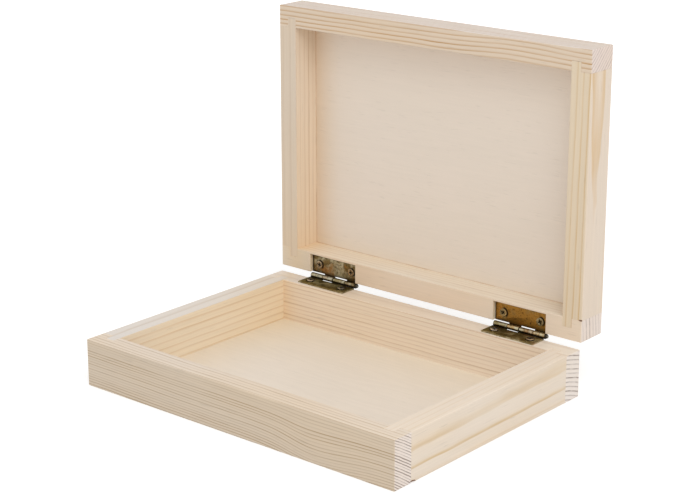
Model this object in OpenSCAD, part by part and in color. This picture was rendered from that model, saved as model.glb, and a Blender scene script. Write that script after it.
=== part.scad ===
// A shallow pine box with a framed lid on two small butt hinges.
//
// Millimetres. The origin is the middle of the underside of the base, +X runs
// along the long front, +Y towards the hinges and +Z up. The lid and its leaves
// are drawn closed and then turned about the hinge pins by lid_open_angle.

/* [Box] */
// Length of the box, left to right
box_w = 200; // [150:1:320]
// Depth of the box, front to hinge side
box_d = 148; // [90:1:240]
// Height of the base tray
base_h = 25; // [16:0.5:80]
// Height of the lid frame
lid_h = 18.5; // [14:0.5:60]
// Gap between the two rims when the lid is shut
rim_gap = 0.15; // [0.1:0.05:0.5]
// Angle at which the lid stands open, 0 is shut
lid_open_angle = 90; // [0:1:180]

/* [Boards] */
// Thickness of the four boards of the base
base_board_t = 12; // [10.5:0.5:18]
// Thickness of the four boards of the lid
lid_board_t = 11.5; // [11:0.5:18]
// Thickness of the plywood panels
panel_t = 2; // [1.5:0.1:4]
// Width of the rebate that holds each panel
rebate_w = 5.5; // [3:0.5:8]
// Clearance round each panel in its rebate
panel_gap = 0.1; // [0.05:0.05:0.5]

/* [Corner joints] */
// Thickness of the tongue on each side board
tongue_t = 5.5; // [3:0.5:7]
// Length of the tongue, which is the depth of its dado
tongue_l = 5; // [2:0.5:7]
// Glue gap round each tongue
glue_gap = 0.05; // [0.02:0.01:0.2]

/* [Hinges] */
// Length of each hinge along its pin
hinge_l = 32; // [28:0.5:45]
// Width of each leaf, from the pin's axis to its free edge
leaf_w = 12; // [9.5:0.5:12.5]
// Thickness of the leaves
leaf_t = 0.7; // [0.5:0.1:0.8]
// Outer diameter of the barrel
barrel_d = 2.9; // [2.8:0.1:3.6]
// Length of each knuckle on the base leaf
base_knuckle_l = 8.6; // [6:0.1:10]
// Gap between neighbouring knuckles
knuckle_gap = 0.15; // [0.1:0.05:0.4]
// Cut-back of the base leaf from the lid leaf's middle knuckle
base_leaf_relief = 1.1; // [0.3:0.1:1.4]
// Cut-back of the base leaf from the lid leaf's end knuckle
base_leaf_end_relief = 0.4; // [0.3:0.1:1.4]
// Cut-back of the lid leaf from the base leaf's knuckles
lid_leaf_relief = 0.4; // [0.3:0.1:1.4]
// Distance of the pin's axis behind the back of the box
pin_setback = 1.9; // [1.85:0.05:2.4]
// Clearance round a leaf in its mortise
mortise_gap = 0.3; // [0.1:0.05:0.6]
// From the left end of the box to the left hinge
left_hinge_inset = 21.3; // [16:0.1:40]
// From the right end of the box to the right hinge
right_hinge_inset = 21.7; // [16:0.1:40]

/* [Hinge pins] */
// Diameter of the hinge pins
pin_d = 1.5; // [1.2:0.1:1.6]
// Radial clearance of a pin in its knuckles
pin_clearance = 0.05; // [0.02:0.01:0.1]
// Diameter of the domed head on the right end of each pin
pin_head_d = 2.1; // [2:0.1:2.5]
// Length of that head
pin_head_l = 1.4; // [1.3:0.1:2]

/* [Screws] */
// Length of the hinge screws
screw_l = 8; // [5:0.5:11]
// Outer diameter of their thread
thread_d = 2.2; // [1.8:0.1:2.4]
// Diameter of the core under the thread
core_d = 1.5; // [1.2:0.1:1.6]
// Pitch of the thread
thread_pitch = 0.9; // [0.6:0.1:1.2]
// Diameter of the countersunk head
head_d = 4.4; // [3.8:0.1:4.8]
// Height of the straight rim round the top of the head
head_land = 0.2; // [0.1:0.05:0.3]
// Height of the head's top above the leaf's face
head_rise = 0.45; // [0.3:0.05:0.5]
// Distance of the screws from the pin's axis
screw_setback = 6.6; // [6.4:0.1:7.2]
// From the left end of a base leaf to its first screw
base_screw_left = 4.8; // [4:0.1:7]
// From the right end of a base leaf to its second screw
base_screw_right = 5; // [4:0.1:7]
// From the left end of a lid leaf to its first screw
lid_screw_left = 5; // [4:0.1:7]
// From the right end of a lid leaf to its second screw
lid_screw_right = 4.3; // [3:0.1:7]
// Span of the cross recess in each head
recess_span = 2.5; // [2:0.1:2.8]
// Width of the arms of the cross recess
recess_w = 0.55; // [0.4:0.05:0.7]
// Depth of the cross recess
recess_depth = 0.9; // [0.5:0.1:1]
// Radial clearance of a screw in its holes
screw_clearance = 0.05; // [0.02:0.01:0.1]

/* [Hidden] */
$fn = 64;

// Cuts run this far past the face that they open
over = 1;

pine = "#e3cfae";
plywood = "#ddc7a4";
brass = "#7d6536";
screw_brass = "#85693c";
pin_steel = "#3a342a";

barrel_r = barrel_d / 2;
pin_y = box_d / 2 + pin_setback;
pin_z = base_h + barrel_r;
lid_rim_z = base_h + rim_gap;
lid_top_z = lid_rim_z + lid_h;
// A hinge is as deep as its barrel, and the base leaf lies on the rim, so the lid's mortise takes the rest
mortise_depth = barrel_d - rim_gap;
lid_knuckle_l = hinge_l / 2 - base_knuckle_l;
base_knuckles = [[0, base_knuckle_l], [base_knuckle_l + lid_knuckle_l, 2 * base_knuckle_l + lid_knuckle_l]];
lid_knuckles = [[base_knuckle_l, base_knuckle_l + lid_knuckle_l], [hinge_l - lid_knuckle_l, hinge_l]];
base_screws_x = [base_screw_left, hinge_l - base_screw_right];
lid_screws_x = [lid_screw_left, hinge_l - lid_screw_right];
left_hinge_x = left_hinge_inset - box_w / 2;
right_hinge_x = box_w / 2 - right_hinge_inset - hinge_l;
head_h = head_land + (head_d - thread_d) / 2;
pin_bore_r = pin_d / 2 + pin_clearance;

// ---- Where things stand ----

// Turns what is drawn closed about the hinge pins to the angle of the open lid
module lid_pose() {
    translate([0, pin_y, pin_z])
        rotate([-lid_open_angle, 0, 0])
            translate([0, -pin_y, -pin_z])
                children();
}

// Turns a frame that is drawn with its panel down into the lid's, with its panel up
module lid_frame() {
    translate([0, 0, lid_top_z])
        mirror([0, 0, 1])
            children();
}

// Places what is drawn from the left end of a hinge's axis
module at_hinge(hinge_x) {
    translate([hinge_x, pin_y, pin_z])
        children();
}

// ---- The two frames, each drawn standing on its panel side ----

// The rebate round the panel side, which stops inside the ends of the long rails
module panel_rebate(board_t) {
    reach_w = box_w - 2 * board_t + 2 * rebate_w;
    reach_d = box_d - 2 * board_t + 2 * rebate_w;
    translate([-reach_w / 2, -reach_d / 2, -over])
        cube([reach_w, reach_d, panel_t + over]);
}

// A long rail with a dado near each end; side is -1 at the front and 1 at the back
module long_rail(side, board_t, height) {
    dado_w = tongue_t;
    difference() {
        translate([-box_w / 2, side > 0 ? box_d / 2 - board_t : -box_d / 2, 0])
            cube([box_w, board_t, height]);
        for (end = [-1, 1])
            translate([end * (box_w / 2 - board_t + dado_w / 2), side * (box_d / 2 - board_t), height / 2])
                cube([dado_w, 2 * tongue_l, height + 2 * over], center = true);
        panel_rebate(board_t);
    }
}

// A side board with a tongue at each end, flush with its inner face; end is -1 at the left and 1 at the right
module side_board(end, board_t, height) {
    shoulder_d = box_d - 2 * board_t;
    tongue_cut_t = tongue_t - glue_gap;
    tongue_reach = shoulder_d + 2 * (tongue_l - glue_gap);
    difference() {
        union() {
            translate([end * (box_w - board_t) / 2, 0, height / 2])
                cube([board_t, shoulder_d, height], center = true);
            translate([end * (box_w / 2 - board_t + tongue_cut_t / 2), 0, height / 2])
                cube([tongue_cut_t, tongue_reach, height], center = true);
        }
        panel_rebate(board_t);
    }
}

// A plywood panel that lies flush in the rebate
module panel(board_t) {
    panel_w = box_w - 2 * (board_t - rebate_w + panel_gap);
    panel_d = box_d - 2 * (board_t - rebate_w + panel_gap);
    translate([-panel_w / 2, -panel_d / 2, 0])
        cube([panel_w, panel_d, panel_t]);
}

// ---- Screws ----

// The hole for one screw, from the leaf's face at z = 0 down through leaf and wood
module screw_hole() {
    hole_r = thread_d / 2 + screw_clearance;
    mouth_r = head_d / 2 + head_land - head_rise + screw_clearance;
    cone_h = mouth_r - hole_r;
    rotate_extrude()
        polygon([
            [0, over], [mouth_r + over, over], [hole_r, -cone_h],
            [hole_r, head_rise - screw_l - over / 2], [0, head_rise - screw_l - over / 2]
        ]);
}

// A countersunk cross-head wood screw, its head standing head_rise proud of the leaf at z = 0
module hinge_screw(turn) {
    head_r = head_d / 2;
    thread_r = thread_d / 2;
    core_r = core_d / 2;
    tip_l = thread_d;
    threads = floor((screw_l - head_h - tip_l) / thread_pitch);
    thread_end = -head_h - threads * thread_pitch;
    translate([0, 0, head_rise])
        difference() {
            rotate_extrude()
                polygon(concat(
                    [[0, 0], [head_r, 0], [head_r, -head_land], [core_r, -head_land - (head_r - core_r)]],
                    [
                        for (i = [1 : threads - 1])
                            for (step = [[core_r, 0.1], [thread_r, 0.5], [core_r, 0.9]])
                                [step[0], -head_h - (i + step[1]) * thread_pitch]
                    ],
                    [[core_r, thread_end - 0.1], [0, -screw_l]]
                ));
            for (arm = [0, 90])
                rotate([0, 0, turn + arm])
                    translate([-recess_span / 2, -recess_w / 2, -recess_depth])
                        cube([recess_span, recess_w, recess_depth + over]);
        }
}

// Puts screws or holes along a leaf, on the leaf's inner face, in the base leaf's position
module on_leaf(screw_x) {
    translate([screw_x, -screw_setback, leaf_t - barrel_r])
        children();
}

// ---- Hinges, drawn from the left end of the pin's axis, with the leaf towards -Y ----

// A leaf is cut back by relief between its knuckles, and by end_relief past the last of them
module hinge_leaf(knuckles, screws_x, relief, end_relief) {
    cut_back = barrel_r + relief;
    last_end = knuckles[len(knuckles) - 1][1];
    difference() {
        union() {
            translate([0, -leaf_w, -barrel_r])
                cube([last_end, leaf_w - cut_back, leaf_t]);
            if (last_end < hinge_l)
                translate([last_end - over, -leaf_w, -barrel_r])
                    cube([hinge_l - last_end + over, leaf_w - barrel_r - end_relief, leaf_t]);
            for (span = knuckles) {
                knuckle_l = span[1] - span[0] - knuckle_gap;
                translate([span[0] + knuckle_gap / 2, 0, 0]) {
                    translate([0, -cut_back - over, -barrel_r])
                        cube([knuckle_l, cut_back + over, leaf_t]);
                    rotate([0, 90, 0])
                        cylinder(r = barrel_r, h = knuckle_l);
                }
            }
        }
        translate([-over, 0, 0])
            rotate([0, 90, 0])
                cylinder(r = pin_bore_r, h = hinge_l + 2 * over);
        for (x = screws_x)
            on_leaf(x)
                screw_hole();
    }
}

module hinge_pin() {
    head_r = pin_head_d / 2;
    neck_l = pin_head_l - head_r;
    rotate([0, 90, 0]) {
        cylinder(r = pin_d / 2, h = hinge_l + neck_l / 2);
        translate([0, 0, hinge_l])
            cylinder(r = head_r, h = neck_l);
        translate([0, 0, hinge_l + neck_l])
            intersection() {
                sphere(r = head_r);
                cylinder(r = head_r, h = head_r);
            }
    }
}

// The mortise in the lid's back rail, drawn closed, open at the rim and at the back
module lid_mortise(hinge_x) {
    front_y = pin_y - leaf_w - mortise_gap;
    translate([hinge_x - mortise_gap, front_y, lid_rim_z - over])
        cube([hinge_l + 2 * mortise_gap, box_d / 2 - front_y + over, mortise_depth + over]);
}

// Screw holes for one hinge in the base's back rail
module base_screw_holes(hinge_x) {
    at_hinge(hinge_x)
        for (x = base_screws_x)
            on_leaf(x)
                screw_hole();
}

// Screw holes for one hinge in the lid's back rail, drawn closed
module lid_screw_holes(hinge_x) {
    at_hinge(hinge_x)
        mirror([0, 0, 1])
            for (x = lid_screws_x)
                on_leaf(x)
                    screw_hole();
}

module base_screw(hinge_x, index, turn) {
    color(screw_brass)
        at_hinge(hinge_x)
            on_leaf(base_screws_x[index])
                hinge_screw(turn);
}

module lid_screw(hinge_x, index, turn) {
    color(screw_brass)
        lid_pose()
            at_hinge(hinge_x)
                mirror([0, 0, 1])
                    on_leaf(lid_screws_x[index])
                        hinge_screw(turn);
}

// ---- Base ----

module base_front_rail() {
    color(pine)
        long_rail(-1, base_board_t, base_h);
}

module base_back_rail() {
    color(pine)
        difference() {
            long_rail(1, base_board_t, base_h);
            base_screw_holes(left_hinge_x);
            base_screw_holes(right_hinge_x);
        }
}

module base_left_side() {
    color(pine)
        side_board(-1, base_board_t, base_h);
}

module base_right_side() {
    color(pine)
        side_board(1, base_board_t, base_h);
}

module base_bottom_panel() {
    color(plywood)
        panel(base_board_t);
}

// ---- Lid ----

module lid_front_rail() {
    color(pine)
        lid_pose()
            lid_frame()
                long_rail(-1, lid_board_t, lid_h);
}

module lid_back_rail() {
    color(pine)
        lid_pose()
            difference() {
                lid_frame()
                    long_rail(1, lid_board_t, lid_h);
                for (hinge_x = [left_hinge_x, right_hinge_x]) {
                    lid_mortise(hinge_x);
                    lid_screw_holes(hinge_x);
                }
            }
}

module lid_left_side() {
    color(pine)
        lid_pose()
            lid_frame()
                side_board(-1, lid_board_t, lid_h);
}

module lid_right_side() {
    color(pine)
        lid_pose()
            lid_frame()
                side_board(1, lid_board_t, lid_h);
}

module lid_top_panel() {
    color(plywood)
        lid_pose()
            lid_frame()
                panel(lid_board_t);
}

// ---- Hinge leaves and pins ----

module left_hinge_base_leaf() {
    color(brass)
        at_hinge(left_hinge_x)
            hinge_leaf(base_knuckles, base_screws_x, base_leaf_relief, base_leaf_end_relief);
}

module right_hinge_base_leaf() {
    color(brass)
        at_hinge(right_hinge_x)
            hinge_leaf(base_knuckles, base_screws_x, base_leaf_relief, base_leaf_end_relief);
}

module left_hinge_lid_leaf() {
    color(brass)
        lid_pose()
            at_hinge(left_hinge_x)
                mirror([0, 0, 1])
                    hinge_leaf(lid_knuckles, lid_screws_x, lid_leaf_relief, lid_leaf_relief);
}

module right_hinge_lid_leaf() {
    color(brass)
        lid_pose()
            at_hinge(right_hinge_x)
                mirror([0, 0, 1])
                    hinge_leaf(lid_knuckles, lid_screws_x, lid_leaf_relief, lid_leaf_relief);
}

module left_hinge_pin() {
    color(pin_steel)
        at_hinge(left_hinge_x)
            hinge_pin();
}

module right_hinge_pin() {
    color(pin_steel)
        at_hinge(right_hinge_x)
            hinge_pin();
}

// ---- Screws, each turned as it was driven ----

module left_base_screw_outer() {
    base_screw(left_hinge_x, 0, 25);
}

module left_base_screw_inner() {
    base_screw(left_hinge_x, 1, 62);
}

module left_lid_screw_outer() {
    lid_screw(left_hinge_x, 0, 12);
}

module left_lid_screw_inner() {
    lid_screw(left_hinge_x, 1, 80);
}

module right_base_screw_inner() {
    base_screw(right_hinge_x, 0, 40);
}

module right_base_screw_outer() {
    base_screw(right_hinge_x, 1, 8);
}

module right_lid_screw_inner() {
    lid_screw(right_hinge_x, 0, 33);
}

module right_lid_screw_outer() {
    lid_screw(right_hinge_x, 1, 70);
}

base_front_rail();
base_back_rail();
base_left_side();
base_right_side();
base_bottom_panel();
lid_front_rail();
lid_back_rail();
lid_left_side();
lid_right_side();
lid_top_panel();
left_hinge_base_leaf();
left_hinge_lid_leaf();
left_hinge_pin();
right_hinge_base_leaf();
right_hinge_lid_leaf();
right_hinge_pin();
left_base_screw_outer();
left_base_screw_inner();
left_lid_screw_outer();
left_lid_screw_inner();
right_base_screw_inner();
right_base_screw_outer();
right_lid_screw_inner();
right_lid_screw_outer();
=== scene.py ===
import math

import bmesh
import bpy
from mathutils import Matrix, Vector


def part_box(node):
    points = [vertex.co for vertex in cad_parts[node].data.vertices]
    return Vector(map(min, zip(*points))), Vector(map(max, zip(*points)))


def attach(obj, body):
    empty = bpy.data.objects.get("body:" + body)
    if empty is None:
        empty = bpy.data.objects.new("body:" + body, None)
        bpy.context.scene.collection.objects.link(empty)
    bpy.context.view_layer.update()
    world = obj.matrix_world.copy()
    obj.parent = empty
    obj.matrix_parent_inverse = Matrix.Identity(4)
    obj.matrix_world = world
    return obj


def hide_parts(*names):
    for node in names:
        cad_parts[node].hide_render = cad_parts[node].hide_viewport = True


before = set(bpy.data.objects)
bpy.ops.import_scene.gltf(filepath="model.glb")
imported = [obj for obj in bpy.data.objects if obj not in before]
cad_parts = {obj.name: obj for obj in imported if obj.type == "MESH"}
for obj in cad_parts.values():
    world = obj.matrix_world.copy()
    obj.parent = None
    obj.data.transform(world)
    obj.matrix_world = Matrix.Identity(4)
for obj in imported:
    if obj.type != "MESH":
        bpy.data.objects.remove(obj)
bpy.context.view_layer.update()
MM = 0.001

# ---- Studio ----
# The open box stands on a seamless white table. A white room lights it evenly, and one
# large softbox, high on the right, makes the right and top faces a little brighter.


def feed(tree, node, inputs):
    """Sets sockets of a node, given by name or number, to values or to outputs of other nodes."""
    for key, value in inputs.items():
        if isinstance(value, bpy.types.NodeSocket):
            tree.links.new(value, node.inputs[key])
        else:
            node.inputs[key].default_value = value


def put(tree, kind, inputs=None, **settings):
    """Adds a node with those settings and inputs."""
    node = tree.nodes.new(kind)
    for key, value in settings.items():
        setattr(node, key, value)
    feed(tree, node, inputs or {})
    return node


def calc(tree, operation, *values):
    """The result of a Math node."""
    return put(tree, "ShaderNodeMath", dict(enumerate(values)), operation=operation).outputs[0]


def vector_calc(tree, operation, *values):
    """The result of a Vector Math node, which is a number for a length or a dot product."""
    node = put(tree, "ShaderNodeVectorMath", dict(enumerate(values)), operation=operation)
    return node.outputs["Value" if operation in ("LENGTH", "DOT_PRODUCT") else "Vector"]


def fade(tree, value, start, end, top=1.0, bottom=0.0):
    """Goes from bottom at start to top at end."""
    return put(tree, "ShaderNodeMapRange", {0: value, 1: start, 2: end, 3: bottom, 4: top}).outputs[0]


def new_material(name):
    """A material with an empty node tree and its output node."""
    material = bpy.data.materials.new(name)
    material.use_nodes = True
    material.node_tree.nodes.clear()
    return material, material.node_tree, put(material.node_tree, "ShaderNodeOutputMaterial")


image_w = 700
image_h = 495
focal_px = 1825.85
optical_centre = Vector((330.0, 238.1))
camera_place = Vector((561.0, -655.6, 344.2)) * MM
camera_azimuth = math.radians(40.58)
camera_drop = math.radians(16.97)
camera_roll = math.radians(-0.17)

bpy.ops.object.select_all(action="DESELECT")
bpy.ops.object.camera_add()
camera = bpy.context.object
camera.name = "camera"
turn = Matrix.Rotation(camera_azimuth, 4, "Z") @ Matrix.Rotation(math.pi / 2 - camera_drop, 4, "X")
camera.matrix_world = Matrix.Translation(camera_place) @ turn @ Matrix.Rotation(camera_roll, 4, "Z")
camera.data.sensor_width = 36
camera.data.lens = focal_px * camera.data.sensor_width / image_w
camera.data.shift_x = (image_w / 2 - optical_centre.x) / image_w
camera.data.shift_y = (optical_centre.y - image_h / 2) / image_w
bpy.context.scene.camera = camera

room_light = 0.78
world = bpy.data.worlds.new("white_room")
world.use_nodes = True
world.node_tree.nodes.clear()
rays = put(world.node_tree, "ShaderNodeLightPath")
seen = calc(world.node_tree, "MAXIMUM", rays.outputs["Is Camera Ray"], rays.outputs["Is Glossy Ray"])
seen = calc(world.node_tree, "MAXIMUM", seen, rays.outputs["Is Transmission Ray"])
strength = calc(world.node_tree, "MULTIPLY_ADD", seen, 1 - room_light, room_light)
room = put(world.node_tree, "ShaderNodeBackground", {"Color": (1, 1, 1, 1), "Strength": strength})
put(world.node_tree, "ShaderNodeOutputWorld", {"Surface": room.outputs[0]})
bpy.context.scene.world = world

softbox_place = Vector((0.80, -0.55, 1.20))
softbox_side = 0.9
softbox_watts = 7.6
bpy.ops.object.light_add(type="AREA", location=softbox_place)
softbox = bpy.context.object
softbox.name = "softbox"
softbox.rotation_euler = (-softbox_place).to_track_quat("-Z", "Y").to_euler()
softbox.data.size = softbox_side
softbox.data.energy = softbox_watts

bpy.context.scene.view_settings.view_transform = "Standard"

# The table is lifted towards white, less within the near radius of the box, where its shadow falls
table_side = 8.0
table_paint = (0.8, 0.8, 0.8, 1)
near_radius = 0.25
far_radius = 1.2
glow_near = 0.36
glow_far = 0.7
bpy.ops.object.select_all(action="DESELECT")
bpy.ops.mesh.primitive_plane_add(size=table_side)
table = bpy.context.object
table.name = "table"
table_white, tree, surface = new_material("table_white")
rays = put(tree, "ShaderNodeLightPath")
paint = put(tree, "ShaderNodeBsdfDiffuse", {"Color": table_paint})
from_box = vector_calc(tree, "LENGTH", put(tree, "ShaderNodeTexCoord").outputs["Object"])
lift = fade(tree, from_box, near_radius, far_radius, top=glow_far, bottom=glow_near)
glow = put(tree, "ShaderNodeEmission", {"Color": (1, 1, 1, 1), "Strength": lift})
lifted = put(tree, "ShaderNodeAddShader", {0: paint.outputs[0], 1: glow.outputs[0]})
seen = calc(tree, "MAXIMUM", rays.outputs["Is Camera Ray"], rays.outputs["Is Glossy Ray"])
mixed = put(tree, "ShaderNodeMixShader", {0: seen, 1: paint.outputs[0], 2: lifted.outputs[0]})
tree.links.new(mixed.outputs[0], surface.inputs["Surface"])
table.data.materials.append(table_white)

# ---- Long rails of the base ----
# Two straight pine boards run the full length of the tray, front and back. Each is sawn
# and planed, has a dado near either end, and is glued round the tongues of the sides.
# After assembly the outer arrises are eased with sandpaper.

base_low, base_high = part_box("base_front_rail")
half_w = base_high.x
half_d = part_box("base_back_rail")[1].y
base_board = base_high.y - base_low.y


def start_group(name, inputs):
    """A shader group and its two end nodes. inputs lists the names of its sockets by kind. It puts out the
    colour, the roughness and the height of a surface."""
    group = bpy.data.node_groups.new(name, "ShaderNodeTree")
    kinds = {"number": "NodeSocketFloat", "vector": "NodeSocketVector", "colour": "NodeSocketColor"}
    outputs = {"colour": ["Colour"], "number": ["Roughness", "Height"]}
    for way, sockets in (("INPUT", inputs), ("OUTPUT", outputs)):
        for kind, names in sockets.items():
            for socket in names:
                group.interface.new_socket(name=socket, in_out=way, socket_type=kinds[kind])
    return group, put(group, "NodeGroupInput").outputs, put(group, "NodeGroupOutput").inputs


def use_group(tree, group, inputs):
    """The outputs of that shader group with those inputs."""
    node = put(tree, "ShaderNodeGroup", node_tree=group)
    feed(tree, node, inputs)
    return node.outputs


def give_skin(tree, surface, skin, height, deep=1.0):
    """Ends a material in a shader with that skin. Its bump is height times deep, in metres."""
    bump = put(tree, "ShaderNodeBump", {"Height": height, "Strength": 1.0, "Distance": deep})
    shader = put(tree, "ShaderNodeBsdfPrincipled", skin | {"Normal": bump.outputs[0]})
    tree.links.new(shader.outputs[0], surface.inputs["Surface"])


def blend(tree, factor, first, second, mode="MIX"):
    """The colour between two colours."""
    mix = put(tree, "ShaderNodeMix", {0: factor, 6: first, 7: second}, data_type="RGBA", blend_type=mode)
    return mix.outputs[2]


def shaded(tree, colour, shade):
    """The colour times a number that varies about 1."""
    grey = put(tree, "ShaderNodeCombineColor", {0: shade, 1: shade, 2: shade}).outputs[0]
    return blend(tree, 1.0, colour, grey, "MULTIPLY")


def stretched(tree, point, across, along):
    """The point scaled for a noise with so many spots to the metre across the grain and along it, its Z."""
    return vector_calc(tree, "MULTIPLY", point, (across, across, along))


def noise(tree, vector, detail=2.0, rough=0.5, scale=1.0):
    """A noise from 0 to 1."""
    sockets = {"Vector": vector, "Scale": scale, "Detail": detail, "Roughness": rough}
    return put(tree, "ShaderNodeTexNoise", sockets).outputs[0]


def swing(tree, value, amount):
    """A noise from 0 to 1 as a number from -amount to amount."""
    centred = calc(tree, "SUBTRACT", value, 0.5)
    doubled = calc(tree, "MULTIPLY", amount, 2.0)
    return calc(tree, "MULTIPLY", centred, doubled)


def hump(tree, place, middle, reach):
    """1 at the middle, falling smoothly to nearly 0 at two reaches from it."""
    away = calc(tree, "DIVIDE", calc(tree, "SUBTRACT", place, middle), reach)
    away = calc(tree, "POWER", calc(tree, "ABSOLUTE", away), 2.0)
    return calc(tree, "EXPONENT", calc(tree, "MULTIPLY", away, -1.0))


def toned(tree, colour, axes, tones, where=1.0):
    """The colour, turned by each of tones along an axis from start to end, in mm, as far as where says."""
    for axis, start, end, tone in tones:
        share = calc(tree, "POWER", fade(tree, axes[axis], start * MM, end * MM), 1.5)
        colour = blend(tree, calc(tree, "MULTIPLY", share, where), colour, (*tone, 1), "MULTIPLY")
    return colour


ripple_width = 0.42 * MM
swirl_fade = 14 * MM
steeper_below = 0.2
late_wood_at_end = (0.21, 0.14, 0.105, 1)
late_wood_relief = 0.02 * MM
fibre_relief = 0.06 * MM
canal_relief = 0.03 * MM


def pine_group():
    """Growth rings, fibres and tone of sawn pine, in a log whose pith is the Z axis of Point."""
    numbers = ["Ring Width", "Shift", "Uneven", "Wander", "Swirl Depth", "Swirl Place", "Swirl Reach"]
    numbers += ["Swirl Limit", "Late Share", "Line Strength", "End Grain", "End Lines", "Rim Facing"]
    numbers += ["Warm Place", "Warm Reach", "Warm Amount"]
    colours = ["Early Wood", "Late Wood", "End Wood", "Rim Light Tone", "Warm Tone"]
    inputs = {"vector": ["Point"], "number": numbers, "colour": colours}
    tree, given, made = start_group("sawn_pine", inputs)
    axes = put(tree, "ShaderNodeSeparateXYZ", {0: given["Point"]}).outputs

    # Slow bends of the rings, and the swirl that they make round a knot nearby, steeper on its lower side
    bend = noise(tree, stretched(tree, given["Point"], 22, 7), detail=1.0)
    ripple = noise(tree, stretched(tree, given["Point"], 90, 32), detail=2.0)
    off_axis = put(tree, "ShaderNodeCombineXYZ", {0: axes[0], 1: axes[1]}).outputs[0]
    radius = vector_calc(tree, "LENGTH", off_axis)
    radius = calc(tree, "ADD", radius, swing(tree, bend, given["Wander"]))
    radius = calc(tree, "ADD", radius, swing(tree, ripple, ripple_width))
    from_knot = calc(tree, "SUBTRACT", axes[2], given["Swirl Place"])
    skew = calc(tree, "MULTIPLY_ADD", calc(tree, "SIGN", from_knot), -steeper_below, 1.0)
    pull = hump(tree, calc(tree, "MULTIPLY", from_knot, skew), 0.0, given["Swirl Reach"])
    inside = calc(tree, "DIVIDE", calc(tree, "SUBTRACT", given["Swirl Limit"], radius), swirl_fade)
    inside = calc(tree, "SMOOTH_MIN", calc(tree, "MAXIMUM", inside, 0.0), 1.0, 0.2)
    pull = calc(tree, "MULTIPLY", pull, inside)
    radius = calc(tree, "MULTIPLY_ADD", pull, given["Swirl Depth"], radius)

    # Rings of uneven width. Each is pale early wood that darkens into a band of late wood and ends sharply
    count = calc(tree, "ADD", calc(tree, "DIVIDE", radius, given["Ring Width"]), given["Shift"])
    slow = {"W": count, "Scale": 0.37, "Detail": 1.0}
    years = put(tree, "ShaderNodeTexNoise", slow, noise_dimensions="1D").outputs[0]
    count = calc(tree, "ADD", count, swing(tree, years, given["Uneven"]))
    ring = put(tree, "ShaderNodeTexWhiteNoise", {"W": calc(tree, "FLOOR", count)}, noise_dimensions="1D")
    to_next = calc(tree, "SUBTRACT", 1.0, calc(tree, "FRACT", count))
    into_late = calc(tree, "SUBTRACT", 1.0, calc(tree, "DIVIDE", to_next, given["Late Share"]))
    season = put(tree, "ShaderNodeValToRGB", {0: into_late})
    stops = [(0.0, 0.0), (0.35, 0.2), (0.68, 0.85), (0.84, 1.0), (0.95, 0.6), (1.0, 0.0)]
    for position, _ in stops[1:-1]:
        season.color_ramp.elements.new(position)
    for element, (position, grey) in zip(season.color_ramp.elements, stops):
        element.position = position
        element.color = (grey, grey, grey, 1)
    strength = calc(tree, "MULTIPLY_ADD", ring.outputs[0], 0.8, 0.2)
    dark = calc(tree, "MULTIPLY", season.outputs[0], strength)
    depth = noise(tree, stretched(tree, given["Point"], 300, 26), detail=1.0)
    depth = fade(tree, depth, 0.3, 0.7, top=1.25, bottom=0.6)
    dark = calc(tree, "MULTIPLY", dark, calc(tree, "MULTIPLY", depth, given["Line Strength"]))

    # Painted light: faces that face the rim way get slightly paler lines and a painted tone for how light
    # falls on the rim. End grain has its own colour, and lines that are harder or softer
    dark = calc(tree, "MULTIPLY", dark, calc(tree, "MULTIPLY_ADD", given["Rim Facing"], -0.1, 1.0))
    early = blend(tree, given["End Grain"], given["Early Wood"], given["End Wood"])
    late = blend(tree, given["End Grain"], given["Late Wood"], late_wood_at_end)
    more = calc(tree, "SUBTRACT", given["End Lines"], 1.0)
    end_dark = calc(tree, "MULTIPLY_ADD", given["End Grain"], more, 1.0)
    colour = blend(tree, calc(tree, "MULTIPLY", dark, end_dark), early, late)
    colour = blend(tree, given["Rim Facing"], colour, given["Rim Light Tone"], "MULTIPLY")

    # Broad warm and cool streaks, a resinous end, fine fibres, and short resin canals
    streak = noise(tree, stretched(tree, given["Point"], 90, 5), detail=3.0, rough=0.6)
    patch = noise(tree, stretched(tree, given["Point"], 30, 9), detail=1.0)
    warm = fade(tree, patch, 0.42, 0.7, top=0.3)
    resin = hump(tree, axes[2], given["Warm Place"], given["Warm Reach"])
    warm = calc(tree, "MULTIPLY_ADD", resin, given["Warm Amount"], warm)
    colour = blend(tree, warm, colour, given["Warm Tone"], "MULTIPLY")
    fibre = noise(tree, stretched(tree, given["Point"], 1100, 22), detail=3.0, rough=0.65)
    shade = calc(tree, "ADD", swing(tree, streak, 0.06), swing(tree, fibre, 0.09))
    shade = calc(tree, "ADD", shade, 1.0)
    canal = noise(tree, stretched(tree, given["Point"], 1900, 90), detail=0.0)
    canal = fade(tree, canal, 0.77, 0.83)
    shade = calc(tree, "SUBTRACT", shade, calc(tree, "MULTIPLY", canal, 0.12))
    tree.links.new(shaded(tree, colour, shade), made["Colour"])

    # Hard late wood is smoother and stands a little proud of the soft early wood
    rough = calc(tree, "MULTIPLY_ADD", dark, -0.1, 0.5)
    tree.links.new(calc(tree, "ADD", rough, swing(tree, fibre, 0.08)), made["Roughness"])
    relief = calc(tree, "MULTIPLY", fibre, fibre_relief)
    relief = calc(tree, "MULTIPLY_ADD", dark, late_wood_relief, relief)
    relief = calc(tree, "SUBTRACT", relief, calc(tree, "MULTIPLY", canal, canal_relief))
    tree.links.new(relief, made["Height"])
    return tree


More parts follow.
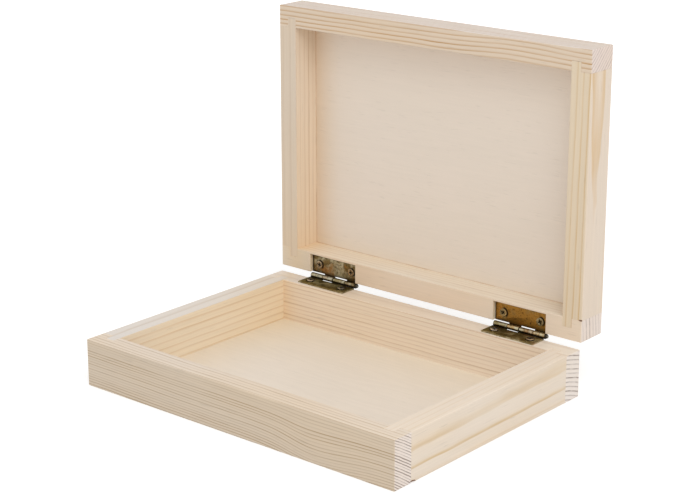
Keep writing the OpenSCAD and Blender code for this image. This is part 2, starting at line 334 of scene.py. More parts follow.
sawn_pine = pine_group()
wood_shine = 0.8
LOG_TURN = {"X": (0, math.pi / 2, 0), "Y": (-math.pi / 2, 0, 0), "Z": (0, 0, 0)}
GRAIN_WAY = {"X": (1, 0, 0), "Y": (0, 1, 0), "Z": (0, 0, 1)}
BASE_RIM = (0, 0, 1)
LID_RIM = (0, -1, 0)
turned_away = 0.6
turned_to = 0.95
# Painted light that makes faces cut across further in, such as mortise walls, paler, as if lit instead of
# shaded
cut_wall_light = (1.22, 1.18, 1.08, 1)
outer_end = 0.97 * half_w
no_limit = 999


def cut_across(tree, place, along):
    """Where the fibres are cut across: at the outer end of a board, and in a cut that was made further in."""
    facing = vector_calc(tree, "DOT_PRODUCT", place["Normal"], GRAIN_WAY[along])
    facing = calc(tree, "POWER", calc(tree, "ABSOLUTE", facing), 3.0)
    across = calc(tree, "SMOOTH_MIN", facing, 1.0, 0.05)
    from_middle = vector_calc(tree, "DOT_PRODUCT", place["Object"], GRAIN_WAY[along])
    from_middle = calc(tree, "ABSOLUTE", from_middle)
    outer = fade(tree, from_middle, outer_end - 1 * MM, outer_end + 1 * MM)
    further_in = calc(tree, "SUBTRACT", 1.0, outer)
    return calc(tree, "MULTIPLY", across, outer), calc(tree, "MULTIPLY", across, further_in)


def pine(name, along, pith, early, late, ring, shift=0.0, lean=(0, 0), uneven=0.2, wander=0.3,
         swirl=(0, 0, 30, no_limit), share=0.45, lines=0.9, end_lines=1.5, end_wood=(0.80, 0.70, 0.635),
         warm=(1.0, 0.9, 0.72), resin=(0, 10, 0), rim_way=BASE_RIM, rim=(1, 1, 1), rim_tones=()):
    """Pine sawn along an axis from a log whose pith passes through pith, in mm, and leans in degrees. swirl
    has the depth, place, reach and limit of a swirl, and resin the place, reach and amount of a resinous
    stretch. rim is a painted light tone on the face along rim_way, and rim_tones are its painted changes
    along the rim."""
    material, tree, surface = new_material(name)
    place = put(tree, "ShaderNodeTexCoord").outputs
    turned = list(LOG_TURN[along])
    free = [axis for axis in range(3) if "XYZ"[axis] != along]
    for axis, degrees in zip(free, lean):
        turned[axis] += math.radians(degrees)
    log = {0: place["Object"], "Location": [v * MM for v in pith], "Rotation": turned}
    point = put(tree, "ShaderNodeMapping", log, vector_type="TEXTURE").outputs[0]
    end, lit_cut_faces = cut_across(tree, place, along)
    # Painted light: faces along rim_way are made lighter or darker by rim, and by rim_tones along the rim,
    # for how light falls there
    facing_rim = vector_calc(tree, "DOT_PRODUCT", place["Normal"], rim_way)
    facing_rim = fade(tree, facing_rim, turned_away, turned_to)
    grain = use_group(tree, sawn_pine, {
        "Point": point, "Ring Width": ring * MM, "Shift": shift, "Uneven": uneven, "Wander": wander * MM,
        "Swirl Depth": swirl[0] * MM, "Swirl Place": swirl[1] * MM, "Swirl Reach": swirl[2] * MM,
        "Swirl Limit": swirl[3] * MM, "Late Share": share, "Line Strength": lines,
        "End Grain": end, "End Lines": end_lines, "End Wood": (*end_wood, 1),
        "Early Wood": (*early, 1), "Late Wood": (*late, 1), "Rim Facing": facing_rim, "Rim Light Tone": (*rim, 1),
        "Warm Place": resin[0] * MM, "Warm Reach": resin[1] * MM, "Warm Amount": resin[2],
        "Warm Tone": (*warm, 1),
    })
    # Painted light: faces cut across further in, such as the walls of the hinge mortises, are made paler and
    # warmer, as if lit instead of shaded
    colour = blend(tree, lit_cut_faces, grain["Colour"], cut_wall_light, "MULTIPLY")
    axes = put(tree, "ShaderNodeSeparateXYZ", {0: place["Object"]}).outputs
    colour = toned(tree, colour, axes, rim_tones, facing_rim)
    skin = {"Base Color": colour, "Roughness": grain["Roughness"], "Specular IOR Level": wood_shine}
    give_skin(tree, surface, skin, grain["Height"])
    return material


merge_within = 0.002 * MM
flat_within = math.radians(0.3)


def own_copy(node, name):
    """A piece that starts as that node's solid, its loose triangles merged into flat faces, in edit mode."""
    piece = bpy.data.objects.new(name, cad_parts[node].data.copy())
    bpy.context.scene.collection.objects.link(piece)
    bpy.ops.object.select_all(action="DESELECT")
    bpy.context.view_layer.objects.active = piece
    piece.select_set(True)
    bpy.ops.mesh.customdata_custom_splitnormals_clear()
    bpy.ops.object.mode_set(mode="EDIT")
    bpy.ops.mesh.select_all(action="SELECT")
    bpy.ops.mesh.remove_doubles(threshold=merge_within)
    bpy.ops.mesh.dissolve_limited(angle_limit=flat_within)
    return piece


def weigh_edges(piece, wanted, weight):
    """Gives the edges of the piece in edit mode for which wanted(edge) holds that bevel weight."""
    bpy.ops.mesh.select_mode(type="EDGE")
    bpy.ops.mesh.select_all(action="DESELECT")
    mesh = bmesh.from_edit_mesh(piece.data)
    for edge in mesh.edges:
        edge.select_set(wanted(edge))
    bmesh.update_edit_mesh(piece.data)
    bpy.ops.transform.edge_bevelweight(value=weight)


def round_weighed(piece, width, segments, clamp):
    """Rounds the edges that have a bevel weight, as far as it says, and leaves edit mode."""
    bpy.ops.object.mode_set(mode="OBJECT")
    ease = piece.modifiers.new("eased", "BEVEL")
    ease.width = width
    ease.segments = segments
    ease.limit_method = "WEIGHT"
    ease.use_clamp_overlap = clamp
    bpy.ops.object.modifier_apply(modifier=ease.name)


def give_material(piece, material):
    """Gives the piece that material alone."""
    piece.data.materials.clear()
    piece.data.materials.append(material)


def stand_in(piece, node, body):
    """Shows the piece in place of that node."""
    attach(piece, body)
    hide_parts(node)


def near(value, target):
    """True for two places that are the same but for rounding."""
    return abs(value - target) < 0.02 * MM


arris = 0.45 * MM
joint_line = 0.09 * MM
shortest_line = 3 * MM
flat_on = 0.99


class BoardFrame:
    """The box frame that a board belongs to, and which of its edges are eased or only show as joints."""

    def __init__(self, body, half_w, half_d, board_t, middle, axes, rim, back):
        self.body, self.half_w, self.half_d, self.board_t = body, half_w, half_d, board_t
        self.middle, self.axes, self.rim, self.back = middle, axes, rim, back

    def local(self, point):
        """A point as its place along the length, the depth and the height of the frame."""
        across, up = (point[axis] for axis in self.axes)
        return abs(point.x), abs(across - self.middle), up

    def is_arris(self, edge):
        """True for an edge where two outer faces of the frame meet, or round its mouth."""
        x, y, level = self.local((edge.verts[0].co + edge.verts[1].co) / 2)
        inner_w, inner_d = self.half_w - self.board_t, self.half_d - self.board_t
        on_faces = near(x, self.half_w) + near(y, self.half_d)
        on_faces += near(level, self.rim) + near(level, self.back)
        mouth = (near(x, inner_w) and y < inner_d) or (near(y, inner_d) and x < inner_w)
        return on_faces >= 2 or (near(level, self.rim) and mouth)

    def shows(self, face):
        """True for a face on the outside of the frame or on its rim."""
        x, y, level = self.local(face.calc_center_median())
        way = [abs(v) for v in face.normal]
        across, up = (way[axis] for axis in self.axes)
        side = (near(x, self.half_w) and way[0] > flat_on) or (near(y, self.half_d) and across > flat_on)
        return side or ((near(level, self.rim) or near(level, self.back)) and up > flat_on)

    def is_joint(self, edge):
        """True for a straight edge where a face that shows ends against another board."""
        ends_one_face = sum(self.shows(face) for face in edge.link_faces) == 1
        return edge.calc_length() > shortest_line and ends_one_face and not self.is_arris(edge)


def finish_board(piece, node, in_frame, wood):
    """Eases the arrises of a board, lets its joints show as fine lines, and gives it its wood."""
    weigh_edges(piece, in_frame.is_arris, 1.0)
    weigh_edges(piece, in_frame.is_joint, joint_line / arris)
    round_weighed(piece, arris, segments=3, clamp=False)
    give_material(piece, wood)
    stand_in(piece, node, in_frame.body)
    return piece


def long_rail(node, name, in_frame, wood):
    """A board that runs the full length of a frame."""
    return finish_board(own_copy(node, name), node, in_frame, wood)


base_frame = BoardFrame("base", half_w, half_d, base_board, 0.0, (1, 2), base_high.z, base_low.z)

front_pine = pine("front_rail_pine", "X", pith=(0, -146.4, -115.2), early=(0.68, 0.565, 0.435),
                  late=(0.40, 0.27, 0.14), ring=1.21, shift=903.16, lean=(0.38, 0), uneven=0.1,
                  swirl=(3.2, 50, 22, 158), share=0.55, lines=1.25, rim=(1.11, 1.135, 1.20),
                  rim_tones=[(0, 15, 75, (1.035, 1.055, 1.085))], end_wood=(0.84, 0.745, 0.68))
front_rail = long_rail("base_front_rail", "front_rail", base_frame, front_pine)

back_pine = pine("back_rail_pine", "X", pith=(0, 36, -106), early=(0.855, 0.72, 0.575),
                 late=(0.57, 0.38, 0.23), ring=2.28, shift=1041.5, lean=(-0.35, 0), uneven=0.1,
                 resin=(-90, 9, 0.7), rim=(0.92, 0.92, 0.92),
                 rim_tones=[(0, -10, 75, (1.06, 1.13, 1.23)), (0, -55, -82, (0.97, 1.04, 1.18))],
                 end_wood=(0.84, 0.76, 0.70))
long_rail("base_back_rail", "back_rail", base_frame, back_pine)

# ---- Sides of the base ----
# Two shorter pine boards stand between the rails. The tongue on each end is flush with
# the inner face and fills the dado, so it shows as a small block in the rim.


def side_board(node, name, in_frame, wood):
    """A board between the rails. Its faces are split at its shoulders, so that only the mouth is eased."""
    piece = own_copy(node, name)
    across = in_frame.axes[0]
    for side in (-1, 1):
        place = [0, 0, 0]
        way = [0, 0, 0]
        place[across] = in_frame.middle + side * (in_frame.half_d - in_frame.board_t)
        way[across] = 1
        bpy.ops.mesh.select_all(action="SELECT")
        bpy.ops.mesh.bisect(plane_co=place, plane_no=way, threshold=merge_within)
    return finish_board(piece, node, in_frame, wood)


right_pine = pine("right_side_pine", "Y", pith=(67.2, 0, 25.7), early=(0.80, 0.69, 0.57),
                  late=(0.62, 0.42, 0.18), ring=3.4, shift=32.95, lean=(-0.42, 0.54), uneven=0.1, wander=0.4,
                  lines=0.75, rim=(1.01, 1.02, 1.04))
right_side = side_board("base_right_side", "right_side", base_frame, right_pine)


def torn_wood():
    """Bare wood where a splinter has come away: darker and browner, with loose fibres."""
    material, tree, surface = new_material("torn_wood")
    fibres = noise(tree, put(tree, "ShaderNodeTexCoord").outputs["Object"], detail=3.0, scale=2500.0)
    colour = blend(tree, fibres, (0.20, 0.11, 0.07, 1), (0.44, 0.29, 0.20, 1))
    give_skin(tree, surface, {"Base Color": colour, "Roughness": 0.8}, fibres, deep=0.1 * MM)
    return material


torn = torn_wood()
chip_seed = 4
ragged = 0.12 * MM


def chip(boards, corner, shift, half_sizes):
    """Breaks a splinter of half_sizes, shifted from a corner, all in mm, out of each of the boards."""
    bpy.ops.object.select_all(action="DESELECT")
    bpy.ops.mesh.primitive_ico_sphere_add(subdivisions=3, radius=1)
    splinter = bpy.context.object
    splinter.data.materials.append(torn)
    splinter.scale = Vector(half_sizes) * MM
    splinter.location = Vector(corner) + Vector(shift) * MM
    bpy.ops.object.transform_apply(location=True, rotation=True, scale=True)
    bpy.ops.object.mode_set(mode="EDIT")
    bpy.ops.mesh.select_all(action="SELECT")
    bpy.ops.transform.vertex_random(offset=ragged, seed=chip_seed)
    bpy.ops.object.mode_set(mode="OBJECT")
    for board in boards:
        bpy.ops.object.select_all(action="DESELECT")
        bpy.context.view_layer.objects.active = board
        board.select_set(True)
        cut = board.modifiers.new("chipped", "BOOLEAN")
        cut.object = splinter
        cut.operation = "DIFFERENCE"
        cut.solver = "EXACT"
        cut.material_mode = "TRANSFER"
        bpy.ops.object.modifier_apply(modifier=cut.name)
    bpy.data.objects.remove(splinter)


foot_of_joint = (half_w, base_board - half_d, base_low.z)
chip((front_rail, right_side), foot_of_joint, shift=(0.2, 0.8, -0.1), half_sizes=(1.2, 2.7, 1.5))

left_pine = pine("left_side_pine", "Y", pith=(-159, 0, -100), early=(0.88, 0.755, 0.58),
                 late=(0.66, 0.45, 0.24), ring=3.18, shift=407.64, lean=(-0.3, 0), uneven=0.1, lines=0.7,
                 resin=(62, 40, 0.3), rim=(0.815, 0.867, 1.02))
side_board("base_left_side", "left_side", base_frame, left_pine)

# ---- Bottom panel ----
# A sheet of thin poplar plywood lies in the rebate under the base and is glued in flush.
# Its face is peeled from the log, so its figure is faint and cloudy.

pore_depth = 0.03 * MM
veneer_relief = 0.03 * MM


def ply_group():
    """Peeled veneer: cloudy tone, faint wavy figure and short open pores. The grain is along X of Point."""
    inputs = {"vector": ["Point"], "colour": ["Veneer", "Cloud"], "number": ["Figure"]}
    tree, given, made = start_group("peeled_veneer", inputs)

    def along_x(across, along):
        return vector_calc(tree, "MULTIPLY", given["Point"], (along, across, across))

    cloud = noise(tree, along_x(28, 16), detail=3.0, rough=0.55)
    cloud = fade(tree, cloud, 0.35, 0.7)
    colour = blend(tree, calc(tree, "MULTIPLY", cloud, 0.5), given["Veneer"], given["Cloud"])
    band = noise(tree, along_x(60, 6), detail=2.0)
    wave = calc(tree, "SINE", calc(tree, "MULTIPLY", band, 60.0))
    wave = calc(tree, "MULTIPLY", wave, calc(tree, "MULTIPLY", given["Figure"], 0.012))
    fibre = noise(tree, along_x(900, 30), detail=3.0, rough=0.6)
    pore = noise(tree, along_x(1500, 160), detail=0.0)
    pore = fade(tree, pore, 0.72, 0.8)
    shade = calc(tree, "ADD", calc(tree, "ADD", wave, 1.0), swing(tree, fibre, 0.03))
    shade = calc(tree, "SUBTRACT", shade, calc(tree, "MULTIPLY", pore, 0.05))
    tree.links.new(shaded(tree, colour, shade), made["Colour"])
    tree.links.new(calc(tree, "ADD", swing(tree, fibre, 0.05), 0.5), made["Roughness"])
    relief = calc(tree, "MULTIPLY", fibre, veneer_relief)
    tree.links.new(calc(tree, "MULTIPLY_ADD", pore, -pore_depth, relief), made["Height"])
    return tree


peeled_veneer = ply_group()
dried_glue = (0.72, 0.55, 0.38, 1)


def plywood(name, veneer, cloud, place, turned=(0, 0, 0), figure=1.0, tones=(), seams=()):
    """Plywood whose face veneer is taken from another part of the sheet for each panel. Each of tones turns
    its colour along an axis, and each of seams is a line of dried glue, as (axis, place in mm, amount)."""
    material, tree, surface = new_material(name)
    coords = {0: put(tree, "ShaderNodeTexCoord").outputs["Object"], "Location": place, "Rotation": turned}
    point = put(tree, "ShaderNodeMapping", coords).outputs[0]
    sockets = {"Point": point, "Veneer": (*veneer, 1), "Cloud": (*cloud, 1), "Figure": figure}
    face = use_group(tree, peeled_veneer, sockets)
    axes = put(tree, "ShaderNodeSeparateXYZ", {0: coords[0]}).outputs
    colour = toned(tree, face["Colour"], axes, tones)
    broken = fade(tree, noise(tree, coords[0], detail=2.0, scale=60.0), 0.3, 0.6)
    for axis, line, amount in seams:
        off_line = calc(tree, "ABSOLUTE", calc(tree, "SUBTRACT", axes[axis], line * MM))
        glue = calc(tree, "MULTIPLY", fade(tree, off_line, 0.6 * MM, 0.2 * MM, top=amount), broken)
        colour = blend(tree, glue, colour, dried_glue, "MULTIPLY")
    skin = {"Base Color": colour, "Roughness": face["Roughness"], "Specular IOR Level": wood_shine}
    give_skin(tree, surface, skin, face["Height"])
    return material


tray_end = (half_w - base_board) / MM
tray_back = (half_d - base_board) / MM
# Painted light: the veneer turns warmer towards the back rail and the left side, painted light bounced from
# the pine boards
bottom_ply = plywood("bottom_plywood", veneer=(0.80, 0.715, 0.615), cloud=(0.78, 0.70, 0.60),
                     place=(0.3, 0.1, 0),
                     tones=[(1, 0, tray_back, (0.99, 0.97, 0.90)), (0, -40, -tray_end, (1.0, 0.985, 0.93))])
give_material(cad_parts["base_bottom_panel"], bottom_ply)

# ---- Long rails of the lid ----
# The lid is a lower frame of the same make, standing open on its hinges. Its front rail
# is on top, and its back rail carries the hinges in two deep mortises.

lid_low, lid_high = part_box("lid_front_rail")
lid_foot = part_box("lid_back_rail")[0]
lid_board = lid_high.z - lid_low.z
lid_middle = (lid_high.z + lid_foot.z) / 2
lid_half_d = lid_high.z - lid_middle
lid_frame = BoardFrame("lid", half_w, lid_half_d, lid_board, lid_middle, (2, 1), lid_low.y, lid_high.y)

lid_front_pine = pine("lid_front_rail_pine", "X", pith=(0, -20, 274), early=(0.695, 0.612, 0.55),
                      late=(0.43, 0.23, 0.06), ring=1.79, shift=1240.77, uneven=0.1, share=0.6, lines=0.95,
                      wander=0.4, swirl=(1.5, 54, 30, no_limit), end_lines=0.55, rim_way=LID_RIM,
                      rim=(1.05, 0.97, 0.82), end_wood=(0.775, 0.65, 0.58))
long_rail("lid_front_rail", "lid_top_edge", lid_frame, lid_front_pine)

lid_back_pine = pine("lid_back_rail_pine", "X", pith=(0, -40, 20), early=(0.80, 0.71, 0.585),
                     late=(0.48, 0.31, 0.17), ring=2.8, lines=0.5, warm=(1.0, 0.84, 0.62),
                     resin=(-90, 10, 0.5), rim_way=LID_RIM, rim=(0.975, 0.90, 0.85),
                     rim_tones=[(0, 10, 44, (1.02, 1.045, 1.07)), (0, 0, -40, (0.97, 0.945, 0.91)),
                                (0, -60, -84, (0.96, 1.08, 1.21))])
lid_back = long_rail("lid_back_rail", "lid_hinge_edge", lid_frame, lid_back_pine)

# ---- Sides of the lid ----
# Two boards between the lid's rails, with the same flush tongues. The right one was sawn
# close to the heart of the tree, so a warm flame runs down its outer face.

lid_left_pine = pine("lid_left_side_pine", "Z", pith=(-153, -20, 0), early=(0.835, 0.69, 0.535),
                     late=(0.62, 0.43, 0.26), ring=2.83, shift=0.33, lines=0.8, resin=(40, 18, 0.2),
                     rim_way=LID_RIM, rim=(0.844, 0.844, 0.847))
side_board("lid_left_side", "lid_left_edge", lid_frame, lid_left_pine)

lid_right_pine = pine("lid_right_side_pine", "Z", pith=(77.73, 81.5, 95.35), early=(0.77, 0.645, 0.52),
                      late=(0.65, 0.43, 0.20), ring=3.4, shift=259.41, lean=(0, 0.76), uneven=0.1,
                      wander=0.25, share=0.42, lines=0.85, rim_way=LID_RIM, rim=(0.955, 0.95, 0.875))
lid_right = side_board("lid_right_side", "lid_right_edge", lid_frame, lid_right_pine)
top_of_joint = (half_w, lid_low.y, lid_foot.z + lid_board)
chip((lid_back, lid_right), top_of_joint, shift=(-0.7, -0.2, 0.15), half_sizes=(1.3, 0.8, 0.5))

# ---- Lid panel ----
# The same thin plywood closes the lid, flush in the rebate round its back.

mouth_end = (half_w - lid_board) / MM
mouth_foot = (lid_foot.z + lid_board) / MM
mouth_head = (lid_high.z - lid_board) / MM
# Painted light: the veneer is warmer and darker towards the left side, painted bounce light from the left
# board, warmer towards the foot, and paler towards the head, painted light over the shade of the top rail
lid_ply = plywood("lid_plywood", veneer=(0.805, 0.705, 0.605), cloud=(0.775, 0.685, 0.575),
                  place=(0.1, 0.5, 0.2), turned=(math.radians(1), 0, 0), figure=0.4,
                  tones=[(0, -70, -mouth_end, (0.94, 0.86, 0.75)), (2, 50, mouth_foot, (1.0, 0.985, 0.94)),
                         (2, 110, mouth_head, (1.11, 1.09, 1.065))],
                  seams=[(0, -mouth_end, 0.8), (2, mouth_foot, 0.8)])
give_material(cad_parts["lid_top_panel"], lid_ply)

# ---- Hinge leaves ----
# Small butt hinges, each of two leaves stamped from thin steel sheet, rolled into
# knuckles and plated in antique brass, whose lacquer has darkened unevenly.

# The near-black colour of painted shade and of soiling on the plating
dirt_and_shade = (0.02, 0.014, 0.006, 1)
plating_relief = 0.04 * MM
blotch_drift = 6 * MM


def brass_group():
    """Antique plating: brown brass under clouds of olive tarnish and copper stains. It turns pale where its
    wear and highlight input is 1, wear with painted highlight, and black where its grime and shade input is 1
    and close to an edge, soiling with painted shade."""
    numbers = ["Tarnish Amount", "Copper Amount", "Wear And Highlight", "Grime And Shade", "Edge"]
    colours = ["Brass", "Tarnish", "Copper", "Rubbed And Lit"]
    inputs = {"vector": ["Point", "Offset"], "colour": colours, "number": numbers}
    tree, given, made = start_group("antique_plating", inputs)
    moved = vector_calc(tree, "ADD", given["Point"], given["Offset"])
    warp = put(tree, "ShaderNodeTexNoise", {"Vector": moved, "Scale": 160.0, "Detail": 2.0})
    drift = vector_calc(tree, "SUBTRACT", warp.outputs["Color"], (0.5, 0.5, 0.5))
    drift = vector_calc(tree, "MULTIPLY", drift, (blotch_drift,) * 3)
    point = vector_calc(tree, "ADD", moved, drift)

    cloud = noise(tree, point, detail=4.0, rough=0.6, scale=150.0)
    low = calc(tree, "SUBTRACT", 0.62, calc(tree, "MULTIPLY", given["Tarnish Amount"], 0.3))
    tarnish = fade(tree, cloud, low, calc(tree, "ADD", low, 0.16))
    elsewhere = vector_calc(tree, "ADD", point, (0.31, 0.17, 0.4))
    blotch = noise(tree, elsewhere, detail=3.0, rough=0.55, scale=120.0)
    low = calc(tree, "SUBTRACT", 0.66, calc(tree, "MULTIPLY", given["Copper Amount"], 0.3))
    copper = fade(tree, blotch, low, calc(tree, "ADD", low, 0.14))
    speck = noise(tree, point, detail=3.0, rough=0.7, scale=900.0)
    colour = blend(tree, tarnish, given["Brass"], given["Tarnish"])
    colour = blend(tree, calc(tree, "MULTIPLY", copper, 0.85), colour, given["Copper"])
    # Painted highlight: the pale colour, wear together with a painted highlight, shows in patches where the
    # wear input is 1
    rubbed_and_lit = fade(tree, cloud, 0.42, 0.60, bottom=0.15)
    colour = blend(tree, calc(tree, "MULTIPLY", given["Wear And Highlight"], rubbed_and_lit), colour, given["Rubbed And Lit"])

    # Painted shade: dark near the edge, which only lid leaves get, where they sit in the mortise, with some
    # soiling
    ragged_edge = calc(tree, "ADD", given["Edge"], swing(tree, cloud, 0.8 * MM))
    edge_shade_and_dirt = fade(tree, ragged_edge, 0.9 * MM, 0.2 * MM, top=0.85)
    stain = fade(tree, speck, 0.50, 0.67, top=0.7)
    grime_and_shade = calc(tree, "MAXIMUM", calc(tree, "MAXIMUM", stain, edge_shade_and_dirt), given["Grime And Shade"])
    tree.links.new(blend(tree, grime_and_shade, colour, dirt_and_shade), made["Colour"])
    rough = calc(tree, "MULTIPLY_ADD", tarnish, 0.12, 0.32)
    rough = calc(tree, "MULTIPLY_ADD", given["Wear And Highlight"], -0.08, rough)
    rough = calc(tree, "MULTIPLY_ADD", grime_and_shade, 0.15, rough)
    tree.links.new(calc(tree, "ADD", rough, swing(tree, speck, 0.12)), made["Roughness"])
    tree.links.new(calc(tree, "MULTIPLY", speck, plating_relief), made["Height"])
    return tree


antique_plating = brass_group()
glancing_sheen = (0.3, 0.3, 0.3, 1)
no_edge = 1.0


def antique_brass(name, offset, brass, tarnish, copper, rubbed_and_lit, marks, tarnish_amount=0.5,
                  copper_amount=0.4):
    """Antique brass plating, its blotches moved by offset so that no two parts are alike. marks gives the
    sockets that say where it shows wear with painted highlight, where soiling with painted shade, how far its
    edge is, and where it shows copper."""
    material, tree, surface = new_material(name)
    point = put(tree, "ShaderNodeTexCoord").outputs["Object"]
    plating = {"Point": point, "Offset": offset, "Brass": (*brass, 1), "Tarnish": (*tarnish, 1)}
    plating |= {"Copper": (*copper, 1), "Rubbed And Lit": (*rubbed_and_lit, 1)}
    plating |= {"Tarnish Amount": tarnish_amount, "Copper Amount": copper_amount}
    plating |= marks(tree, point)
    made = use_group(tree, antique_plating, plating)
    skin = {"Base Color": made["Colour"], "Roughness": made["Roughness"], "Metallic": 0.9}
    give_skin(tree, surface, skin | {"Specular Tint": glancing_sheen}, made["Height"])
    return material


pin_low, pin_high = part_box("left_hinge_pin")
pin_axis = (pin_low + pin_high) / 2
barrel_edge = pin_axis.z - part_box("left_hinge_base_leaf")[0].z + 0.05 * MM
LEAF_PLANE = {"base": (1, 1, 0), "lid": (1, 0, 1)}
# The side of a screw where painted light goes: on the base the near side, with a painted glint on the head
# and a painted shadow crescent on the leaf; on the lid the right side, with a painted shadow crescent on the
# leaf
PAINTED_LIGHT_SIDE = {"base": (0.3, -0.95, 0), "lid": (0.9, 0, 0.43)}


def round_screw(tree, point, screw, body):
    """How far the point is from a screw's axis, the radius of its head, and 1 on the side where painted
    glints and painted shadow crescents go.
    """
    low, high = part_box(screw)
    off_axis = vector_calc(tree, "SUBTRACT", point, (low + high) / 2)
    off_axis = vector_calc(tree, "MULTIPLY", off_axis, LEAF_PLANE[body])
    painted_light_side = vector_calc(tree, "DOT_PRODUCT", vector_calc(tree, "NORMALIZE", off_axis), PAINTED_LIGHT_SIDE[body])
    return vector_calc(tree, "LENGTH", off_axis), (high.x - low.x) / 2, fade(tree, painted_light_side, 0.0, 0.6)


def off_pin(tree, point):
    """How far the point is from the axis of the pins."""
    across = vector_calc(tree, "SUBTRACT", point, pin_axis)
    return vector_calc(tree, "LENGTH", vector_calc(tree, "MULTIPLY", across, (0, 1, 1)))


def leaf_marks(node, copper_amount):
    """The marks of a leaf. Its barrel is paler on top, painted highlight with some wear, and on the base its
    edge is paler with wear. It is darker under and beside the barrel and between knuckles, painted shade with
    some soiling, and on one side round each screw, a painted shadow crescent. Copper shows most near the
    barrel."""
    low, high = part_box(node)
    side, _, body, _ = node.split("_")
    corners = [v.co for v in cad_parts[node].data.vertices]
    knuckle_ends = sorted({round(co.x, 5) for co in corners if co.z > pin_axis.z and co.y < pin_axis.y})
    middle = (low.x + high.x) / 2
    half_length = (high.x - low.x) / 2
    reach = max(pin_axis.y - low.y, high.z - pin_axis.z)

    def marks(tree, point):
        axes = put(tree, "ShaderNodeSeparateXYZ", {0: point}).outputs
        from_pin = off_pin(tree, point)
        on_barrel = fade(tree, from_pin, barrel_edge, 0.97 * barrel_edge)
        off_barrel = calc(tree, "SUBTRACT", 1.0, on_barrel)
        height = calc(tree, "SUBTRACT", axes[2], pin_axis.z)
        upper = fade(tree, height, -0.25 * barrel_edge, 0.15 * barrel_edge)
        lower = calc(tree, "SUBTRACT", 1.0, upper)
        # Painted shade under the front of the barrel and on the leaf beside it, with some soiling
        ahead = calc(tree, "SUBTRACT", pin_axis.y, axes[1])
        ahead = fade(tree, ahead, -0.5 * barrel_edge, 0.1 * barrel_edge)
        under = calc(tree, "MULTIPLY", ahead, calc(tree, "MULTIPLY", on_barrel, lower))
        beside = fade(tree, from_pin, 2.6 * barrel_edge, 1.2 * barrel_edge, top=0.95)
        grime_and_shade = calc(tree, "MAXIMUM", under, calc(tree, "MULTIPLY", beside, off_barrel))
        # Painted shade in the gaps between knuckles, deepest at the middle gap, with some soiling
        for place in knuckle_ends:
            depth = 1.0 if abs(place - middle) < 1 * MM else 0.5
            gap = calc(tree, "ABSOLUTE", calc(tree, "SUBTRACT", axes[0], place))
            gap = calc(tree, "MULTIPLY", on_barrel, fade(tree, gap, 0.4 * MM, 0.1 * MM, top=depth))
            grime_and_shade = calc(tree, "MAXIMUM", grime_and_shade, gap)
        # Painted shadow crescent on the leaf beside one side of each screw head
        for screw in ("outer", "inner"):
            radius, rim, painted_light_side = round_screw(tree, point, f"{side}_{body}_screw_{screw}", body)
            painted_crescent_shadow = fade(tree, radius, 1.5 * rim, 1.25 * rim, top=0.95)
            painted_crescent_shadow = calc(tree, "MULTIPLY", painted_light_side, painted_crescent_shadow)
            grime_and_shade = calc(tree, "MAXIMUM", grime_and_shade, painted_crescent_shadow)
        along = calc(tree, "ABSOLUTE", calc(tree, "SUBTRACT", axes[0], middle))
        along = calc(tree, "SUBTRACT", half_length, along)
        edge = calc(tree, "MINIMUM", along, calc(tree, "SUBTRACT", reach, from_pin))
        copper = fade(tree, from_pin, 0.6 * reach, 0.3 * reach, top=0.7 * copper_amount)
        copper = calc(tree, "ADD", copper, 0.5 * copper_amount)
        # Painted highlight on the upper side of the barrel, with some wear; on the base also wear along the
        # edge
        wear_and_highlight = calc(tree, "MULTIPLY", on_barrel, upper)
        if body == "base":
            wear_and_highlight = calc(tree, "MAXIMUM", wear_and_highlight, fade(tree, edge, 0.7 * MM, 0.2 * MM, top=0.6))
        # Lid leaves get dark edges, painted shade where they sit in the mortise, with some soiling
        dark_edge = edge if body == "lid" else no_edge
        return {"Wear And Highlight": wear_and_highlight, "Grime And Shade": grime_and_shade, "Edge": dark_edge, "Copper Amount": copper}

    return marks


burr = 0.12 * MM
crease = math.radians(50)
smooth_below = math.radians(30)


def finish_metal(piece, node, body, metal, reaches=lambda point: True):
    """Rounds the outer edges of a stamped or turned part where reaches(point) holds, and smooths curves."""

    def is_burr(edge):
        return edge.is_manifold and edge.calc_face_angle_signed() > crease and reaches(edge.verts[0].co)

    weigh_edges(piece, is_burr, 1.0)
    round_weighed(piece, burr, segments=2, clamp=True)
    bpy.ops.object.shade_smooth_by_angle(angle=smooth_below)
    give_material(piece, metal)
    stand_in(piece, node, body)


olive_brass = dict(brass=(0.25, 0.19, 0.07), tarnish=(0.58, 0.51, 0.28), copper=(0.33, 0.145, 0.045),
                   rubbed_and_lit=(0.58, 0.53, 0.38), tarnish_amount=0.4)
golden_brass = dict(brass=(0.41, 0.215, 0.045), tarnish=(0.27, 0.20, 0.085), copper=(0.48, 0.20, 0.04),
                    rubbed_and_lit=(0.60, 0.53, 0.35), tarnish_amount=0.25)
grey_brass = dict(brass=(0.19, 0.13, 0.05), tarnish=(0.51, 0.45, 0.30), copper=(0.36, 0.165, 0.04),
                  rubbed_and_lit=(0.48, 0.44, 0.32), tarnish_amount=0.7)
duller = dict(rubbed_and_lit=(0.48, 0.44, 0.31))
# Each leaf with its body, the shift of its blotches, its amount of copper and its plating
leaf_looks = {
    "left_hinge_base_leaf": ("base", (0.2, 0.1, 0.0), 0.4, olive_brass | duller),
    "right_hinge_base_leaf": ("base", (0.5, 0.2, 0.3), 0.5, olive_brass),
    "left_hinge_lid_leaf": ("lid", (0.0, 0.3, 0.1), 0.55, grey_brass),
    "right_hinge_lid_leaf": ("lid", (0.7, 0.1, 0.2), 0.5, golden_brass),
}
for node, (body, offset, copper_amount, look) in leaf_looks.items():
    leaf = own_copy(node, node.replace("_hinge_", "_") + "_plated")
    plating = antique_brass(node + "_brass", offset, marks=leaf_marks(node, copper_amount), **look)
    finish_metal(leaf, node, body, plating)

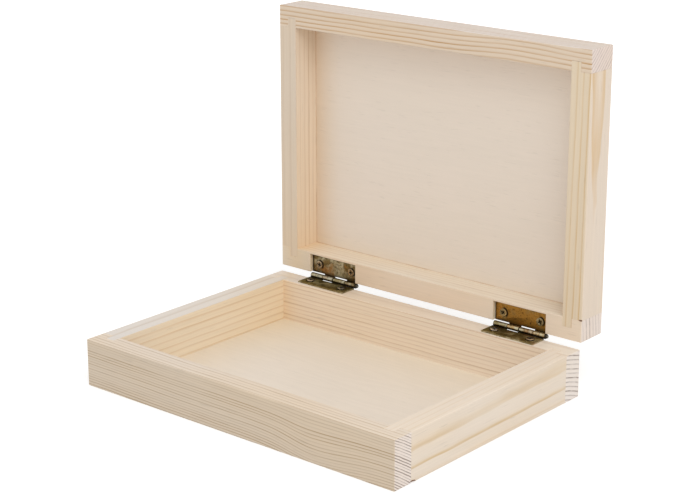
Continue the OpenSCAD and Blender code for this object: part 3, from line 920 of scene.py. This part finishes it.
# ---- Hinge pins ----
# Plain steel wire pins, pushed through the knuckles from the right. Each has a small
# domed head, and the steel is nearly black.


def pin_marks(tree, point):
    """A pin is made bright in the middle of its head, a painted reflection."""
    return {"Wear And Highlight": fade(tree, off_pin(tree, point), 0.8 * MM, 0.4 * MM), "Edge": no_edge}


# The pale colour of the pin is a painted reflection on its head
pin_steel = antique_brass("pin_steel", (0.9, 0.4, 0.6), brass=(0.09, 0.08, 0.06),
                          tarnish=(0.05, 0.045, 0.04), copper=(0.12, 0.08, 0.05),
                          rubbed_and_lit=(0.50, 0.48, 0.44), marks=pin_marks)
for side in ("left", "right"):
    give_material(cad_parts[side + "_hinge_pin"], pin_steel)

# ---- Hinge screws ----
# Eight small countersunk wood screws with cross recesses, plated like the hinges. Only
# their heads show. Their rims are paler, wear with a painted highlight, on the base as a painted glint on one
# side, and their recesses and flanks are darker, painted shade.

head_depth = 0.6 * MM
# How strongly a screw shows wear with painted highlight, and how bright its plating is elsewhere beside that
highlight_strength = {"base": 3.2, "lid": 1.6}
away_from_highlight = {"base": 0.15, "lid": 0.6}
# Each screw with its colour where it shows wear and painted highlight
screws = {
    "left_base_screw_outer": (0.90, 0.76, 0.60), "left_base_screw_inner": (0.95, 0.84, 0.66),
    "right_base_screw_inner": (0.92, 0.78, 0.62), "right_base_screw_outer": (0.90, 0.72, 0.52),
    "left_lid_screw_outer": (0.50, 0.37, 0.23), "left_lid_screw_inner": (0.47, 0.34, 0.20),
    "right_lid_screw_inner": (0.50, 0.37, 0.17), "right_lid_screw_outer": (0.46, 0.38, 0.22),
}


def screw_marks(node, body):
    """The marks of a screw. It is darker in its recess and on its flank, painted shade, and paler round its
    rim, wear with a painted highlight, on the base only on one side, where it is a painted glint."""
    low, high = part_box(node)

    def marks(tree, point):
        axes = put(tree, "ShaderNodeSeparateXYZ", {0: point}).outputs
        radius, rim, painted_light_side = round_screw(tree, point, node, body)
        # Painted highlight: a paler ring towards the rim, with some wear; on base heads only on one side, a
        # painted glint
        wear_and_highlight = fade(tree, radius, 0.45 * rim, 0.8 * rim, top=highlight_strength[body])
        if body == "lid":
            depth = calc(tree, "SUBTRACT", axes[1], low.y)
        else:
            depth = calc(tree, "SUBTRACT", high.z, axes[2])
            wear_and_highlight = calc(tree, "MULTIPLY", wear_and_highlight, painted_light_side)
        # Painted shade: darker in the cross recess and on the flank below the top of the head
        return {"Wear And Highlight": wear_and_highlight, "Grime And Shade": fade(tree, depth, 0.12 * MM, 0.22 * MM), "Edge": no_edge}

    return marks


def in_head(node, body):
    """A test for points in the head of that screw, which faces forwards on the lid and up on the base."""
    low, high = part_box(node)
    if body == "lid":
        return lambda point: point.y < low.y + head_depth
    return lambda point: point.z > high.z - head_depth


for index, (node, rubbed_and_lit) in enumerate(screws.items()):
    body = "lid" if "_lid_" in node else "base"
    screw = own_copy(node, node.replace("_screw_", "_head_"))
    dull = [away_from_highlight[body] * channel for channel in rubbed_and_lit]
    plating = antique_brass(node + "_brass", (0.1 * index, 0.3, 0.2), brass=dull, tarnish=(0.25, 0.2, 0.12),
                            copper=(0.30, 0.16, 0.08), rubbed_and_lit=rubbed_and_lit, marks=screw_marks(node, body),
                            tarnish_amount=0.3, copper_amount=0.2)
    finish_metal(screw, node, body, plating, in_head(node, body))
